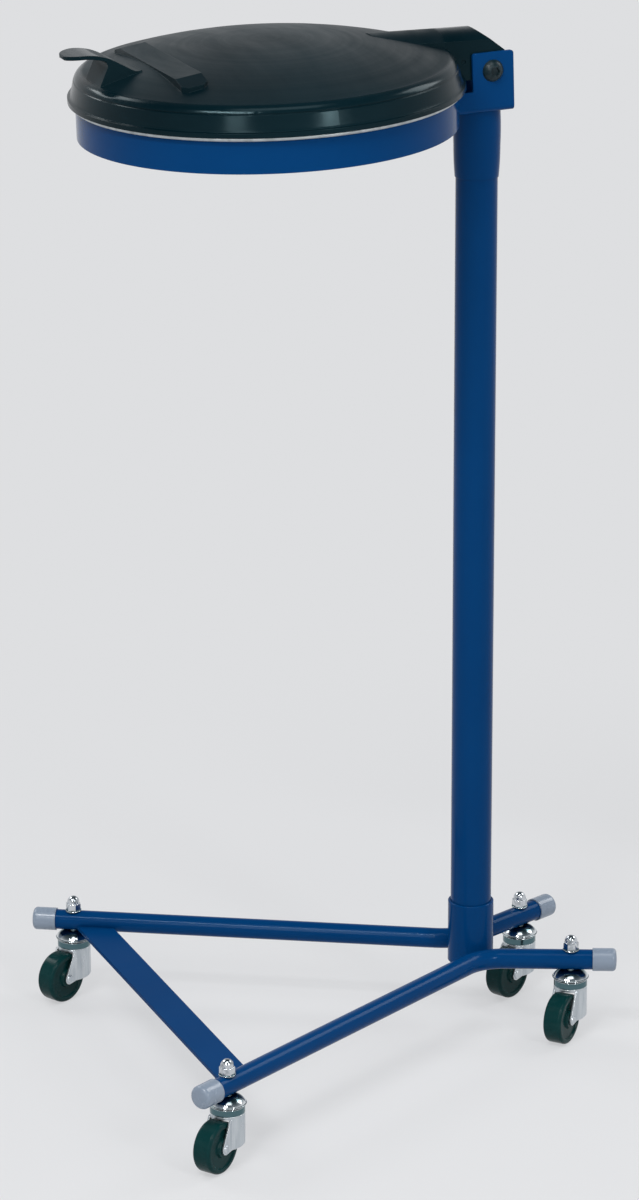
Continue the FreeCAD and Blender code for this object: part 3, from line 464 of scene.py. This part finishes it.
studio = {
    "backdrop": (0.730, 0.737, 0.752),
    "ceiling": (0.09, 0.115, 0.13),
    "ceilingFrom": 0.22,       # sine of the elevation where the walls start to dim
    "ceilingTo": 0.85,
    "ambient": 0.46,
    "floorColor": (0.68, 0.687, 0.70),
    "floorSize": 30,
    "floorShade": 0.3,         # how much of the floor's own shading shows beside the stand
    "shadeReach": (0.45, 1.3), # metres from the middle over which that fades out
    "aim": (0, -0.07, 0.9),
    "lamps": {                 # azimuth from +X and elevation in degrees, metres, watts
        "keyLamp": {"azimuth": -47, "elevation": 46, "distance": 3.2, "size": (1.5, 0.2),
                    "power": 50},
        "stripLamp": {"azimuth": -39, "elevation": 24, "distance": 3.0, "size": (0.5, 1.9),
                      "power": 22},
        "rightLamp": {"azimuth": 15, "elevation": 20, "distance": 3.0, "size": (0.5, 0.8),
                      "power": 26},
        "topLamp": {"azimuth": -12, "elevation": 68, "distance": 2.6, "size": (1.6, 1.1),
                    "power": 17},
        "backLeftLamp": {"azimuth": -150, "elevation": 35, "distance": 3.4, "size": (1.4, 1.4),
                         "power": 34},
        "backRightLamp": {"azimuth": 95, "elevation": 32, "distance": 3.4, "size": (1.4, 1.4),
                          "power": 32},
    },
}


def seenRays(owner):
    rays = addNode(owner, "ShaderNodeLightPath")
    direct = combine(owner, "ADD", rays.outputs["Is Camera Ray"], rays.outputs["Is Glossy Ray"])
    return combine(owner, "ADD", direct, rays.outputs["Is Transmission Ray"], clamp=True)


def makeWorld(values):
    world = bpy.data.worlds.new("studioWorld")
    scene.world = world
    world.use_nodes = True
    world.node_tree.nodes.clear()
    output = addNode(world, "ShaderNodeOutputWorld")
    seen = addNode(world, "ShaderNodeBackground")
    lit = addNode(world, "ShaderNodeBackground", Color=(*values["backdrop"], 1),
                  Strength=values["ambient"])
    mix = addNode(world, "ShaderNodeMixShader")
    place = addNode(world, "ShaderNodeTexCoord")
    split = addNode(world, "ShaderNodeSeparateXYZ")
    join(world, place.outputs["Generated"], split.inputs["Vector"])
    rise = ramp(world, split.outputs["Z"], values["ceilingFrom"], values["ceilingTo"], 0, 1,
                "SMOOTHSTEP")
    walls = blendColors(world, rise, values["backdrop"], values["ceiling"])
    join(world, walls, seen.inputs["Color"])
    join(world, seenRays(world), mix.inputs["Fac"])
    join(world, lit.outputs["Background"], mix.inputs[1])
    join(world, seen.outputs["Background"], mix.inputs[2])
    join(world, mix.outputs["Shader"], output.inputs["Surface"])


def makePaleFloor(values):
    material = bpy.data.materials.new("paleFloor")
    material.use_nodes = True
    material.node_tree.nodes.clear()
    output = addNode(material, "ShaderNodeOutputMaterial")
    matte = addNode(material, "ShaderNodeBsdfDiffuse", Color=(*values["floorColor"], 1))
    glow = addNode(material, "ShaderNodeEmission", Color=(*values["backdrop"], 1))
    mix = addNode(material, "ShaderNodeMixShader")
    shape = addNode(material, "ShaderNodeNewGeometry")
    reach = addNode(material, "ShaderNodeVectorMath", operation="LENGTH")
    join(material, shape.outputs["Position"], reach.inputs[0])
    fade = ramp(material, reach.outputs["Value"], *values["shadeReach"], 1 - values["floorShade"],
                1, "SMOOTHSTEP")
    share = combine(material, "MULTIPLY", fade, seenRays(material))
    join(material, share, mix.inputs["Fac"])
    join(material, matte.outputs["BSDF"], mix.inputs[1])
    join(material, glow.outputs["Emission"], mix.inputs[2])
    join(material, mix.outputs["Shader"], output.inputs["Surface"])
    return material


def makeFloor(values):
    half = values["floorSize"] / 2
    mesh = bpy.data.meshes.new("studioFloor")
    mesh.from_pydata([(-half, -half, 0), (half, -half, 0), (half, half, 0), (-half, half, 0)], [],
                     [(0, 1, 2, 3)])
    mesh.materials.append(makePaleFloor(values))
    floor = bpy.data.objects.new("studioFloor", mesh)
    scene.collection.objects.link(floor)


def makeLamp(name, values, aim):
    light = bpy.data.lights.new(name, "AREA")
    light.shape = "RECTANGLE"
    light.size, light.size_y = values["size"]
    light.energy = values["power"]
    azimuth, elevation = math.radians(values["azimuth"]), math.radians(values["elevation"])
    away = Vector((math.cos(elevation) * math.cos(azimuth), math.cos(elevation) * math.sin(azimuth),
                   math.sin(elevation)))
    lamp = bpy.data.objects.new(name, light)
    lamp.location = Vector(aim) + away * values["distance"]
    lamp.rotation_euler = (-away).to_track_quat("-Z", "Y").to_euler()
    lamp.visible_camera = False
    scene.collection.objects.link(lamp)


makeWorld(studio)
makeFloor(studio)
for name, values in studio["lamps"].items():
    makeLamp(name, values, studio["aim"])
scene.view_settings.view_transform = "Standard"
print("studio lit:", len(studio["lamps"]), "lamps")
